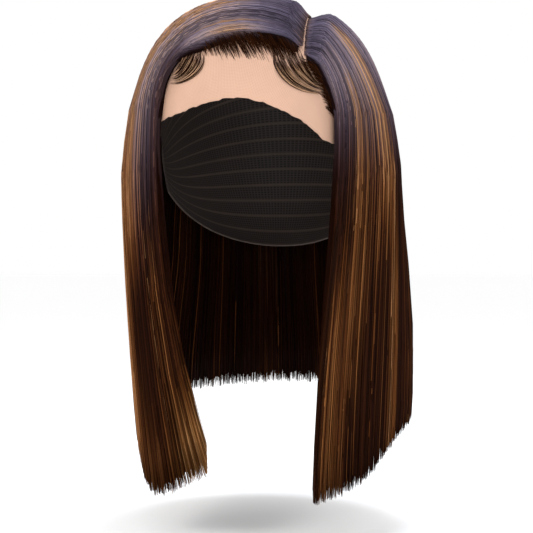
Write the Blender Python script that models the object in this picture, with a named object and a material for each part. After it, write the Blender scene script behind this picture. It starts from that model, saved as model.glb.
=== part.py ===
"""Side-parted lace-front bob wig, in metres.

+Z is up, the open front looks along -Y and the wearer's left is +X. The origin is the crown seat: the
point on the inside of the cap that rests on the top of the head.
"""

import bmesh
import bpy
import numpy as np

# Head that the cap fits: a medium cap for a 56 cm head
HEAD_BREADTH = 0.156
HEAD_DEPTH = 0.198
CROWN_HEIGHT = 0.090
NAPE_HEIGHT = 0.105
CROWN_SQUARENESS = 2.65

# Cap and lace
CAP_WALL = 0.0015
LACE_WALL = 0.0010
SEAM_GAP = 0.0005
SEAM_ANGLE = 96.0
EAR_ANGLE = 78.0
TEMPLE_ANGLE = 70.0
NAPE_ANGLE = 78.0
HAIRLINE_DROP = 0.043
LACE_DROP = 0.072
NAPE_DROP = 0.168
EAR_BACK_DROP = 0.128

# Parting
PART_OFFSET = 0.046
PART_SLANT = 0.009
PART_FRONT = 0.073
PART_BACK = 0.022
PART_WIDTH = 0.0040

# Hair
HAIR_LENGTH = 0.347
TOP_LIFT = 0.0090
ROOT_LIFT = 0.0036
BANK_WIDTH = 0.012
HANDLE_LENGTH = 0.010
SIDE_BULGE = 0.024
SEAT_LIFT = 0.0026
CURTAIN_DEPTH = 0.015
TIP_DEPTH = 0.0030
EDGE_ROUND = 0.007
EDGE_DEPTH = 0.0016
LOCK_RELIEF = 0.0014
LOCK_NOTCH = 0.006
LOCK_STAGGER = 0.004
SECTION_GAP = 0.0010

# Baby hair
BABY_LIFT = 0.0015
BABY_DEPTH = 0.0008
BABY_NOTCH = 0.22

# Fineness of the facets
COLUMNS_A_LOCK = 3
DOME_ROWS = 12
HANG_ROWS = 10
EDGE_COLUMNS = 3
CAP_COLUMNS = 25
CAP_ROWS = 15
LACE_ROWS = 12
BABY_LOCKS = 6
BABY_ROWS = 7

HALF_BREADTH = HEAD_BREADTH / 2
HALF_DEPTH = HEAD_DEPTH / 2
HEAD_MIDDLE = np.array([0, 0, -CROWN_HEIGHT])

# One row for each guide lock, from the left front edge round the back to the right front edge.
# Angles are degrees round the head from the front towards the wearer's left. Roots are shares of the
# parting, lifts off the head are shares of SIDE_BULGE and drops are shares of HAIR_LENGTH. The
# sweep, rise and arch of the curve over the head are in HANDLE_LENGTHs.
GUIDE_COLUMNS = (
    "root",
    "side",
    "sweep",
    "rise",
    "arch",
    "hang_at",
    "hang_out",
    "lean_at",
    "lean_out",
    "tip_at",
    "tip_out",
    "drop",
)
GUIDES = np.array(
    [
        (0.00, 1.0, 1.0, -0.4, 2.0, 47, 0.34, 35, 0.50, 31, 0.75, 0.995),
        (0.18, 1.0, 1.6, -0.4, 3.0, 62, 0.82, 50, 1.05, 48, 1.08, 0.965),
        (0.42, 1.0, 2.2, -0.2, 4.0, 82, 1.00, 74, 1.22, 70, 1.14, 0.895),
        (0.75, 0.9, 2.4, 0.0, 4.5, 104, 0.92, 98, 1.50, 95, 1.32, 0.855),
        (0.95, 0.7, 2.4, 0.2, 5.0, 130, 0.75, 129, 1.08, 129, 1.08, 0.830),
        (1.00, 0.35, 2.6, 0.4, 5.2, 155, 0.68, 156, 0.88, 156, 0.90, 0.815),
        (1.00, 0.0, 2.8, 0.5, 5.5, 180, 0.62, 180, 0.78, 180, 0.80, 0.810),
        (1.00, -0.35, 3.0, 0.6, 5.5, 205, 0.68, 204, 0.88, 204, 0.90, 0.815),
        (0.95, -0.7, 3.4, 0.8, 5.5, 230, 0.85, 231, 0.98, 231, 0.98, 0.830),
        (0.75, -0.9, 4.0, 1.0, 5.5, 256, 1.00, 262, 0.90, 264, 0.68, 0.845),
        (0.42, -1.0, 4.6, 1.4, 5.5, 278, 1.00, 287, 0.78, 295, 0.42, 0.900),
        (0.18, -1.0, 5.2, 1.6, 5.5, 301, 0.76, 307, 0.52, 321, 0.28, 0.993),
        (0.00, -1.0, 5.8, 0.9, 4.6, 322, 0.32, 325, 0.06, 350, -0.02, 0.945),
    ]
)
BEHIND_LEFT_EAR = 4
BEHIND_RIGHT_EAR = 8
LEFT_SPAN = (0, BEHIND_LEFT_EAR)
BACK_SPAN = (BEHIND_LEFT_EAR, BEHIND_RIGHT_EAR)
RIGHT_SPAN = (BEHIND_RIGHT_EAR, len(GUIDES) - 1)
LEFT_LOCKS = 8
BACK_LOCKS = 8
RIGHT_LOCKS = 9

# Where the hair of each side meets the lace, from the parting down to the widest level
HAIRLINE_COLUMNS = ("along", "right_at", "right_drop", "left_at", "left_drop")
HAIRLINE = np.array(
    [
        (0.00, 29.5, 1.02, 33, 1.06),
        (0.25, 12, 1.00, 38, 1.25),
        (0.50, -10, 0.95, 42, 1.52),
        (0.72, -29, 0.80, 45, 1.75),
        (0.85, -34, 1.25, 47, 1.90),
        (1.00, -38, 2.09, 49, 2.09),
    ]
)

# The lower edge of the lace round the forehead, as shares of LACE_DROP
LACE_EDGE_COLUMNS = ("around", "drop")
LACE_EDGE = np.array(
    [
        (-70, 1.28),
        (-55, 1.24),
        (-43, 1.17),
        (-23, 1.11),
        (-13, 1.055),
        (2, 1.00),
        (12, 1.04),
        (20, 1.11),
        (31, 1.22),
        (42, 1.37),
        (55, 1.40),
        (70, 1.40),
    ]
)

# Each swirl of baby hair by its guide strands: angle round the head and share of HAIRLINE_DROP
SWIRL_COLUMNS = (
    "root_at",
    "root_drop",
    "bend_at",
    "bend_drop",
    "curl_at",
    "curl_drop",
    "tip_at",
    "tip_drop",
)
SWIRL_RIGHT = np.array(
    [
        (-13, 1.04, -9, 1.22, -18, 1.50, -31, 1.38),
        (-19, 1.00, -17, 1.14, -23, 1.38, -31, 1.30),
        (-25, 0.96, -25, 1.04, -27, 1.16, -30, 1.21),
    ]
)
SWIRL_LEFT = np.array(
    [
        (17, 1.12, 19, 1.42, 28, 1.62, 41, 1.70),
        (24, 1.12, 27, 1.30, 34, 1.48, 40, 1.60),
        (31, 1.13, 34, 1.24, 36, 1.37, 38.5, 1.48),
    ]
)


def clear_scene():
    """Removes every object, so that the script gives the same result each run."""
    for old in list(bpy.data.objects):
        bpy.data.objects.remove(old)


def smooth(share):
    """An even start and end between 0 and 1."""
    share = np.clip(share, 0, 1)
    return share * share * (3 - 2 * share)


def stacked(*parts):
    """Coordinates side by side, as points."""
    return np.stack(np.broadcast_arrays(*parts), axis=-1)


def unit(vectors):
    """The same directions with length 1."""
    return vectors / np.linalg.norm(vectors, axis=-1, keepdims=True)


def dome(direction, lift):
    """The points where these directions from the head's middle pass a lift off the scalp."""
    direction = unit(direction)
    x, y, z = np.moveaxis(direction, -1, 0)
    height = np.where(z < 0, NAPE_HEIGHT, CROWN_HEIGHT) + lift
    plan = (x / (HALF_BREADTH + lift)) ** 2 + (y / (HALF_DEPTH + lift)) ** 2
    size = plan ** (CROWN_SQUARENESS / 2) + np.abs(z / height) ** CROWN_SQUARENESS
    reach = size ** (-1 / CROWN_SQUARENESS)
    return direction * reach[..., None] + HEAD_MIDDLE


def level_point(around, lift, height):
    """A point at a height, off the head's widest outline."""
    turn = np.radians(around)
    x, y = np.sin(turn), -np.cos(turn)
    reach = ((x / HALF_BREADTH) ** 2 + (y / HALF_DEPTH) ** 2) ** -0.5 + lift
    return stacked(x * reach, y * reach, height)


def brow_point(around, drop, lift):
    """A point of the scalp at an angle round the head and a drop from the crown."""
    above = np.abs(CROWN_HEIGHT - drop)
    height = np.where(drop > CROWN_HEIGHT, NAPE_HEIGHT, CROWN_HEIGHT)
    shrink = (1 - (above / height) ** CROWN_SQUARENESS) ** (1 / CROWN_SQUARENESS)
    ring = level_point(around, 0, -CROWN_HEIGHT)
    point = stacked(ring[..., 0] * shrink, ring[..., 1] * shrink, -drop)
    return dome(point - HEAD_MIDDLE, lift)


def crown_point(x, y, lift):
    """The point of the crown above a plan position."""
    plan = (x / (HALF_BREADTH + lift)) ** 2 + (y / (HALF_DEPTH + lift)) ** 2
    rise = (1 - plan ** (CROWN_SQUARENESS / 2)) ** (1 / CROWN_SQUARENESS)
    return stacked(x, y, (CROWN_HEIGHT + lift) * rise - CROWN_HEIGHT)


def read(table, names, name, at):
    """One column of a table at this row number, on a smooth curve through its rows."""
    values = table[:, names.index(name)]
    last = len(values) - 1
    at = np.clip(at, 0, last)
    low = np.clip(np.floor(at).astype(int), 0, last - 1)
    t = at - low
    a, b = values[np.maximum(low - 1, 0)], values[low]
    c, d = values[low + 1], values[np.minimum(low + 2, last)]
    cubic = 1.5 * (b - c) + (d - a) / 2
    return b + t * ((c - a) / 2 + t * (a - 2.5 * b + 2 * c - d / 2 + t * cubic))


def look_up(table, names, key, name, value):
    """One column of a table where another column has this value."""
    rows = table[:, names.index(key)]
    at = np.interp(value, rows, np.arange(len(rows)))
    return read(table, names, name, at)


def guide(place, name):
    """A column of the guide locks at this guide number."""
    return read(GUIDES, GUIDE_COLUMNS, name, place)


def bezier(a, b, c, d, t):
    """A point on the curve from a to d with the handles b and c."""
    t = np.asarray(t)[..., None]
    s = 1 - t
    return s**3 * a + 3 * s * s * t * b + 3 * s * t * t * c + t**3 * d


def root_point(place):
    """Where a lock leaves the scalp: up one side of the parting and down the other."""
    share, side = guide(place, "root"), guide(place, "side")
    x = PART_OFFSET - PART_SLANT * share + side * PART_WIDTH / 2
    round_end = np.sqrt(np.clip(1 - side * side, 0, 1)) * PART_WIDTH / 2
    y = -PART_FRONT + (PART_FRONT + PART_BACK) * share + round_end
    return crown_point(x, y, ROOT_LIFT)


def hang_point(place):
    """Where a lock passes the head's widest level."""
    lift = guide(place, "hang_out") * SIDE_BULGE
    return level_point(guide(place, "hang_at"), lift, -CROWN_HEIGHT)


def crown_path(place, t):
    """The outer face of the hair on the head: t is 0 at the root and 1 at the widest level."""
    root, hang = root_point(place), hang_point(place)
    side = guide(place, "side")
    sideways = np.sign(side) * np.abs(side) ** 0.5
    backward = np.sqrt(np.clip(1 - sideways * sideways, 0, 1))
    sweep, rise = guide(place, "sweep") * HANDLE_LENGTH, guide(place, "rise") * HANDLE_LENGTH
    first = root + stacked(sideways * sweep, backward * sweep, rise)
    last = hang + stacked(0, 0, guide(place, "arch") * HANDLE_LENGTH)
    along = bezier(root, first, last, hang, t)
    direction = along - HEAD_MIDDLE
    low = 1 - np.clip(unit(direction)[..., 2], 0, 1)
    bulge = guide(place, "hang_out") * SIDE_BULGE
    full = TOP_LIFT + (bulge - TOP_LIFT) * low**2.6
    bank = smooth(np.linalg.norm(along - root, axis=-1) / BANK_WIDTH)
    return dome(direction, ROOT_LIFT + (full - ROOT_LIFT) * bank)


def fall_path(place, t, drop):
    """The outer face of the hair below the widest level, down to its tip at t = 1."""
    hang = hang_point(place)
    fall = drop - CROWN_HEIGHT
    tip = level_point(guide(place, "tip_at"), guide(place, "tip_out") * SIDE_BULGE, -drop)
    lean_height = fall * 0.4 - drop
    lean_lift = guide(place, "lean_out") * SIDE_BULGE
    lean = level_point(guide(place, "lean_at"), lean_lift, lean_height)
    return bezier(hang, hang - stacked(0, 0, fall * 0.3), lean, tip, t)


def hairline_point(side, t):
    """Where the front of the hair meets the lace on one side, at the same t as the crown path."""
    around = look_up(HAIRLINE, HAIRLINE_COLUMNS, "along", side + "_at", t)
    drop = look_up(HAIRLINE, HAIRLINE_COLUMNS, "along", side + "_drop", t) * HAIRLINE_DROP
    return brow_point(around, drop, ROOT_LIFT)


def inward(points):
    """Level directions from these points to the head's axis."""
    level = -points * np.array([1, 1, 0])
    return unit(level)


def lock_groove(across, locks):
    """1 in the groove between two locks and 0 on the back of a lock."""
    return 1 - np.abs(np.sin(np.pi * across * locks))


def hair_faces(span, locks):
    """The outer face of a section of hair as columns by rows, with the gap to its neighbours."""
    columns = locks * COLUMNS_A_LOCK + 1
    across = np.linspace(0, 1, columns)
    place = span[0] + (span[1] - span[0]) * across
    last = len(GUIDES) - 1
    near = 0.5 * (span[0] > 0)
    far = 0.5 * (span[1] < last)
    shift = SECTION_GAP * (near * (1 - across) - far * across)
    lock = np.round(across * (columns - 1) / COLUMNS_A_LOCK)
    trim = LOCK_NOTCH * lock_groove(across, locks) + LOCK_STAGGER * np.sin(2.4 * lock) ** 2
    drop = guide(place, "drop") * HAIR_LENGTH - trim
    t_dome = np.linspace(0, 1, DOME_ROWS + 1)
    t_hang = np.linspace(0, 1, HANG_ROWS + 1)[1:]

    def surface(at):
        """The columns of the outer face at these guide numbers."""
        at = np.clip(at, 0, last)[:, None]
        over = crown_path(at, t_dome[None, :])
        under = fall_path(at, t_hang[None, :], drop[:, None])
        return np.concatenate([over, under], axis=1)

    step = 0.02
    outer = surface(place)
    sideways = unit(surface(place + step) - surface(place - step))
    return outer + sideways * shift[:, None, None], across


def with_relief(outer, across, locks):
    """Sinks the grooves between the locks, from nothing at the root to full depth on the sides."""
    rows = np.linspace(0, 1, outer.shape[1])
    depth = LOCK_RELIEF * smooth(rows * 3)[None, :] * lock_groove(across, locks)[:, None]
    direction = unit(outer - HEAD_MIDDLE)
    direction[:, DOME_ROWS:] = -inward(outer[:, DOME_ROWS:])
    return outer - direction * depth[..., None]


def front_edge(outer, side):
    """Columns that turn from the front of the outer surface down to the hairline or the inside."""
    edge = outer[0] if side == "left" else outer[-1]
    t_dome = np.linspace(0, 1, DOME_ROWS + 1)
    t_hang = np.linspace(0, 1, HANG_ROWS + 1)[1:]
    foot = hairline_point(side, t_dome)
    change = smooth(t_hang * 2.5)[:, None]
    fold = inward(edge[DOME_ROWS + 1 :]) * EDGE_ROUND * (1 - 0.7 * t_hang[:, None])
    low_foot = edge[DOME_ROWS + 1 :] + (foot[-1] - edge[DOME_ROWS]) * (1 - change) + fold * change
    foot = np.concatenate([foot, low_foot])
    share = np.arange(1, EDGE_COLUMNS + 1)[:, None] / EDGE_COLUMNS
    columns = edge + (foot - edge) * share[..., None]
    hollow = np.linalg.norm(foot - edge, axis=-1) * 0.22 * np.sin(np.pi * share)
    lift_left = np.linalg.norm(columns - inner_dome(columns), axis=-1) - EDGE_DEPTH
    hollow = np.clip(np.minimum(hollow, lift_left), 0, None)
    hollow[:, DOME_ROWS:] = 0
    columns = columns - unit(columns - HEAD_MIDDLE) * hollow[..., None]
    return columns


def inner_dome(points):
    """The seat of the hair on the cap under these points."""
    return dome(points - HEAD_MIDDLE, SEAT_LIFT)


def lining(outer, fullness):
    """The inner face of a section: on the cap above, then the inside of the hanging hair."""
    inner = inner_dome(outer)
    ring_depth = np.linalg.norm(outer[:, DOME_ROWS] - inner[:, DOME_ROWS], axis=-1)
    t = np.linspace(0, 1, HANG_ROWS + 1)[1:]
    change = smooth(t * 2.5)
    depth = ring_depth[:, None] * (1 - change) + fullness[:, None] * change
    tip = np.minimum(fullness, TIP_DEPTH)[:, None]
    depth = depth + (tip - depth) * smooth((t - 0.45) / 0.55)
    hanging = outer[:, DOME_ROWS + 1 :]
    inner[:, DOME_ROWS + 1 :] = hanging + inward(hanging) * depth[..., None]
    return inner


def hair_section(name, span, locks, colour, side=None):
    """One section of hair. side is given when it has a front edge."""
    outer, across = hair_faces(span, locks)
    outer = with_relief(outer, across, locks)
    fullness = np.full(len(across), CURTAIN_DEPTH)
    if side:
        from_edge = across if side == "left" else 1 - across
        fullness = EDGE_ROUND + (CURTAIN_DEPTH - EDGE_ROUND) * smooth(from_edge * 3)
        edge = front_edge(outer, side)
        edge_fullness = EDGE_ROUND + (EDGE_DEPTH - EDGE_ROUND) * (
            np.arange(1, EDGE_COLUMNS + 1) / EDGE_COLUMNS
        )
        if side == "left":
            outer = np.concatenate([edge[::-1], outer])
            fullness = np.concatenate([edge_fullness[::-1], fullness])
        else:
            outer = np.concatenate([outer, edge])
            fullness = np.concatenate([fullness, edge_fullness])
    return closed_shell(name, outer, lining(outer, fullness), colour)


def between(start, end, share):
    """Directions on the shortest turn from one to the other."""
    start, end = unit(start), unit(end)
    angle = np.arccos(np.clip((start * end).sum(axis=-1), -1, 1))[..., None]
    share = np.asarray(share)[..., None]
    return (np.sin(angle * (1 - share)) * start + np.sin(angle * share) * end) / np.sin(angle)


def seam_direction(across):
    """The seam between lace and cap, a hoop over the crown from ear to ear."""
    side, back = np.radians(EAR_ANGLE * across), np.radians(SEAM_ANGLE)
    return stacked(
        np.sin(side),
        -np.cos(side) * np.cos(back),
        np.cos(side) * np.sin(back),
    )


def lace_front(colour):
    """The sheer panel from the forehead to the seam, which shows in the parting too."""
    across = np.linspace(-1, 1, CAP_COLUMNS)[:, None]
    around = across * TEMPLE_ANGLE
    drop = look_up(LACE_EDGE, LACE_EDGE_COLUMNS, "around", "drop", around) * LACE_DROP
    front = brow_point(around, drop, 0) - HEAD_MIDDLE
    direction = between(front, seam_direction(across), np.linspace(0, 1, LACE_ROWS + 1)[None, :])
    return closed_shell("lace_front", dome(direction, LACE_WALL), dome(direction, 0), colour)


def wig_cap(colour):
    """The cap behind the seam, down to the nape, that carries the back hair."""
    across = np.linspace(-1, 1, CAP_COLUMNS)[:, None]
    around = 180 - across * NAPE_ANGLE
    drop = NAPE_DROP + (EAR_BACK_DROP - NAPE_DROP) * across**2
    seam = seam_direction(across)
    nape = brow_point(around, drop, 0) - HEAD_MIDDLE
    turn = np.arccos((unit(seam) * unit(nape)).sum(axis=-1))
    first = SEAM_GAP / (turn * HALF_BREADTH)
    share = first + (1 - first) * np.linspace(0, 1, CAP_ROWS + 1)[None, :]
    direction = between(seam, nape, share)
    return closed_shell("wig_cap", dome(direction, CAP_WALL), dome(direction, 0), colour)


def swirl(name, table, colour):
    """A fan of baby hair that lies on the lace and curls towards the temple."""
    columns = BABY_LOCKS * COLUMNS_A_LOCK + 1
    across = np.linspace(0, 1, columns)[:, None]
    row = across * (len(table) - 1)
    groove = lock_groove(across, BABY_LOCKS)
    t = np.linspace(0, 1, BABY_ROWS + 1)[None, :] * (1 - BABY_NOTCH * groove)
    points = []
    for knot in ("root", "bend", "curl", "tip"):
        around = read(table, SWIRL_COLUMNS, knot + "_at", row)
        drop = read(table, SWIRL_COLUMNS, knot + "_drop", row) * HAIRLINE_DROP
        points.append(brow_point(around, drop, 0))
    direction = bezier(*points, t) - HEAD_MIDDLE
    top = BABY_LIFT + BABY_DEPTH * (1 - 0.4 * groove)
    return closed_shell(name, dome(direction, top), dome(direction, BABY_LIFT), colour)


def closed_shell(name, outer, inner, colour):
    """A solid between two grids of points, with strips round its border."""
    columns, rows = outer.shape[:2]
    mesh = bmesh.new()
    top = [[mesh.verts.new(point) for point in column] for column in outer]
    under = [[mesh.verts.new(point) for point in column] for column in inner]
    for c in range(columns - 1):
        for r in range(rows - 1):
            mesh.faces.new((top[c][r], top[c + 1][r], top[c + 1][r + 1], top[c][r + 1]))
            mesh.faces.new((under[c][r], under[c][r + 1], under[c + 1][r + 1], under[c + 1][r]))
    border = [(c, 0) for c in range(columns)]
    border += [(columns - 1, r) for r in range(1, rows)]
    border += [(c, rows - 1) for c in range(columns - 2, -1, -1)]
    border += [(0, r) for r in range(rows - 2, 0, -1)]
    for (c, r), (d, s) in zip(border, border[1:] + border[:1]):
        mesh.faces.new((top[d][s], top[c][r], under[c][r], under[d][s]))
    bmesh.ops.recalc_face_normals(mesh, faces=mesh.faces)
    if mesh.calc_volume(signed=True) < 0:
        bmesh.ops.reverse_faces(mesh, faces=mesh.faces)
    bmesh.ops.triangulate(mesh, faces=mesh.faces)
    data = bpy.data.meshes.new(name)
    mesh.to_mesh(data)
    mesh.free()
    made = bpy.data.objects.new(name, data)
    bpy.context.collection.objects.link(made)
    data.materials.append(plain_material(name, colour))
    for face in data.polygons:
        face.use_smooth = True
    return made


def plain_material(name, colour):
    """A flat-coloured material, for the exported solid."""
    material = bpy.data.materials.new(name)
    material.use_nodes = True
    shader = material.node_tree.nodes["Principled BSDF"]
    shader.inputs["Base Color"].default_value = (*colour, 1)
    shader.inputs["Roughness"].default_value = 0.45
    return material


def main():
    """Builds every piece of the wig."""
    clear_scene()
    lace_front((0.62, 0.42, 0.32))
    wig_cap((0.035, 0.028, 0.026))
    hair_section("hair_left", LEFT_SPAN, LEFT_LOCKS, (0.10, 0.045, 0.022), "left")
    hair_section("hair_back", BACK_SPAN, BACK_LOCKS, (0.05, 0.026, 0.018))
    hair_section("hair_right", RIGHT_SPAN, RIGHT_LOCKS, (0.09, 0.042, 0.024), "right")
    swirl("baby_hair_left", SWIRL_LEFT, (0.06, 0.028, 0.018))
    swirl("baby_hair_right", SWIRL_RIGHT, (0.06, 0.028, 0.018))


if __name__ == "__main__":
    main()
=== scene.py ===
"""Looks of a side-parted lace-front bob wig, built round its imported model.

The open front looks along -Y, the wearer's left is +X and the origin is the crown seat.
"""

import sys

import logging
from dataclasses import dataclass, field
from enum import Enum

import bpy
import numpy as np
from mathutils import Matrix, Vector

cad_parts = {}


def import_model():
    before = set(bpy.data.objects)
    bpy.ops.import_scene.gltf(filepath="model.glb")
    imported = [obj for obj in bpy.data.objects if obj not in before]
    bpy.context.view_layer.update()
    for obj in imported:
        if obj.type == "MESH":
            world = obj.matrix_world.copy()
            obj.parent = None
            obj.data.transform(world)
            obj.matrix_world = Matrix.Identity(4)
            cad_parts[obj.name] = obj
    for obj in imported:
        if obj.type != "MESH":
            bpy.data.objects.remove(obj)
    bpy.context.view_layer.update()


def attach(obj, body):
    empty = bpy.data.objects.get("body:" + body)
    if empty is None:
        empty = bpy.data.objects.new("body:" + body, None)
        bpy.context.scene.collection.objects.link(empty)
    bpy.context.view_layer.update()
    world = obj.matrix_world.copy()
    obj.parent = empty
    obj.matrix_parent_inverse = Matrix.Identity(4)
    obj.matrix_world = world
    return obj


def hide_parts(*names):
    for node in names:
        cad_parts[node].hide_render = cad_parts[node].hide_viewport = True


LOG = logging.getLogger("bob_wig")
SEED = 41
# Steps across and along the fibre map from one strand to the next
FIBRE_STEP, FIBRE_SHIFT = 0.618, 7.0
# The sharpest edges that are shaded smooth
MASS_CREASE, SHEET_CREASE = np.radians(50), np.radians(60)

Colour = tuple[float, float, float]
Span = tuple[float, float]
Array = np.ndarray
Object = bpy.types.Object
Socket = bpy.types.NodeSocket
Finish = bpy.types.Material
Given = float | tuple[float, ...] | Socket
Inputs = dict[str | int, Given]


class Side(Enum):
    """The three sections of the hair, by the wearer's own sides."""

    LEFT = "left"
    BACK = "back"
    RIGHT = "right"


def smooth(share: Array | float) -> Array:
    """Give an even start and end between 0 and 1."""
    share = np.clip(share, 0, 1)
    return share * share * (3 - 2 * share)


def stacked(*parts: Array | float) -> Array:
    """Put coordinates side by side as points."""
    return np.stack(np.broadcast_arrays(*parts), axis=-1)


def placed(name: str, data: bpy.types.ID) -> Object:
    """Add an object to the scene.

    Args:
        name: Its name.
        data: Its mesh, lamp or camera.

    Returns:
        The object.
    """
    made = bpy.data.objects.new(name, data)
    bpy.context.collection.objects.link(made)
    return made


def coloured(mesh: bpy.types.Mesh, values: Array) -> None:
    """Give the points of a mesh their strand values."""
    layer = mesh.color_attributes.new("strand", "FLOAT_COLOR", "POINT")
    layer.data.foreach_set("color", values.astype(np.float32).ravel())


def unit(vectors: Array) -> Array:
    """Give the same directions with length 1."""
    return vectors / np.maximum(np.linalg.norm(vectors, axis=-1, keepdims=True), 1e-9)


def bezier(a: Array, b: Array, c: Array, d: Array, t: Array) -> Array:
    """Give points on the curve from a to d with the handles b and c.

    Args:
        a: Where the curve starts.
        b: Its first handle.
        c: Its second handle.
        d: Where the curve ends.
        t: Shares of the way along it.

    Returns:
        The points.
    """
    t = np.asarray(t)[..., None]
    s = 1 - t
    return s**3 * a + 3 * s * s * t * b + 3 * s * t * t * c + t**3 * d


def inward(points: Array) -> Array:
    """Give the level directions from points to the head's axis."""
    return unit(-points * np.array([1, 1, 0]))


@dataclass(frozen=True)
class Table:
    """Rows of sizes under named columns, read along a smooth curve."""

    names: str  # The columns' names, with spaces between
    rows: tuple[tuple[float, ...], ...]  # One tuple for each row

    def column(self, name: str) -> Array:
        """Give one column."""
        return np.array(self.rows, dtype=float)[:, self.names.split().index(name)]

    def read(self, name: str, at: Array) -> Array:
        """Read one column at row numbers, which may lie between rows.

        Args:
            name: The column.
            at: The row numbers.

        Returns:
            The values there.
        """
        values = self.column(name)
        last = len(values) - 1
        at = np.clip(at, 0, last)
        low = np.clip(np.floor(at).astype(int), 0, last - 1)
        t = at - low
        a, b = values[np.maximum(low - 1, 0)], values[low]
        c, d = values[low + 1], values[np.minimum(low + 2, last)]
        cubic = 1.5 * (b - c) + (d - a) / 2
        return b + t * ((c - a) / 2 + t * (a - 2.5 * b + 2 * c - d / 2 + t * cubic))

    def look_up(self, key: str, name: str, value: Array) -> Array:
        """Read one column where another has this value.

        Args:
            key: The column that is compared.
            name: The column that is read.
            value: What the first one holds.

        Returns:
            The values there.
        """
        keys = self.column(key)
        return self.read(name, np.interp(value, keys, np.arange(len(keys))))


# One row for each guide, from the left front edge round the back to the right front edge
GUIDES = Table(
    "root side sweep rise arch hang_at hang_out lean_at lean_out tip_at tip_out drop",
    (
        (0.00, 1.0, 0.010, -0.004, 0.020, 47, 0.34, 35, 0.50, 31, 0.75, 0.995),
        (0.18, 1.0, 0.016, -0.004, 0.030, 62, 0.82, 50, 1.05, 48, 1.08, 0.965),
        (0.42, 1.0, 0.022, -0.002, 0.040, 82, 1.00, 74, 1.22, 70, 1.14, 0.895),
        (0.75, 0.9, 0.024, 0.000, 0.045, 104, 0.92, 98, 1.50, 95, 1.32, 0.855),
        (0.95, 0.7, 0.024, 0.002, 0.050, 130, 0.75, 129, 1.08, 129, 1.08, 0.830),
        (1.00, 0.35, 0.026, 0.004, 0.052, 155, 0.68, 156, 0.88, 156, 0.90, 0.815),
        (1.00, 0.0, 0.028, 0.005, 0.055, 180, 0.62, 180, 0.78, 180, 0.80, 0.810),
        (1.00, -0.35, 0.030, 0.006, 0.055, 205, 0.68, 204, 0.88, 204, 0.90, 0.815),
        (0.95, -0.7, 0.034, 0.008, 0.055, 230, 0.85, 231, 0.98, 231, 0.98, 0.830),
        (0.75, -0.9, 0.040, 0.010, 0.055, 256, 1.00, 262, 0.90, 264, 0.68, 0.845),
        (0.42, -1.0, 0.046, 0.014, 0.055, 278, 1.00, 287, 0.78, 295, 0.42, 0.900),
        (0.18, -1.0, 0.052, 0.016, 0.055, 301, 0.76, 307, 0.52, 321, 0.28, 0.993),
        (0.00, -1.0, 0.058, 0.009, 0.046, 322, 0.32, 325, 0.06, 350, -0.02, 0.945),
    ),
)

# Where the front of the hair meets the lace, from the parting to the widest level
HAIRLINE = Table(
    "along right_at right_drop left_at left_drop",
    (
        (0.00, 29.5, 1.02, 33, 1.06),
        (0.25, 12, 1.00, 38, 1.25),
        (0.50, -10, 0.95, 42, 1.52),
        (0.72, -29, 0.80, 45, 1.75),
        (0.85, -34, 1.25, 47, 1.90),
        (1.00, -38, 2.09, 49, 2.09),
    ),
)

# The crimped lower edge of the lace, from the wearer's right to the left
LACE_EDGE = Table(
    "around drop",
    ((-70, 1.28), (-55, 1.24), (-43, 1.17), (-23, 1.11), (-13, 1.055), (2, 1.00))
    + ((12, 1.04), (20, 1.11), (31, 1.22), (42, 1.37), (55, 1.40), (70, 1.40)),
)

# Guide strands of the two fans of baby hair
SWIRL_COLUMNS = "root_at root_drop bend_at bend_drop curl_at curl_drop tip_at tip_drop"
SWIRL_RIGHT = Table(
    SWIRL_COLUMNS,
    (
        (-13, 1.04, -9, 1.22, -18, 1.50, -31, 1.38),
        (-19, 1.00, -17, 1.14, -23, 1.38, -31, 1.30),
        (-25, 0.96, -25, 1.04, -27, 1.16, -30, 1.21),
    ),
)
SWIRL_LEFT = Table(
    SWIRL_COLUMNS,
    (
        (17, 1.12, 18, 1.46, 28, 1.66, 41.5, 1.56),
        (24, 1.12, 26, 1.32, 33, 1.50, 41, 1.51),
        (31, 1.13, 34, 1.24, 36, 1.37, 39, 1.43),
    ),
)

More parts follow.
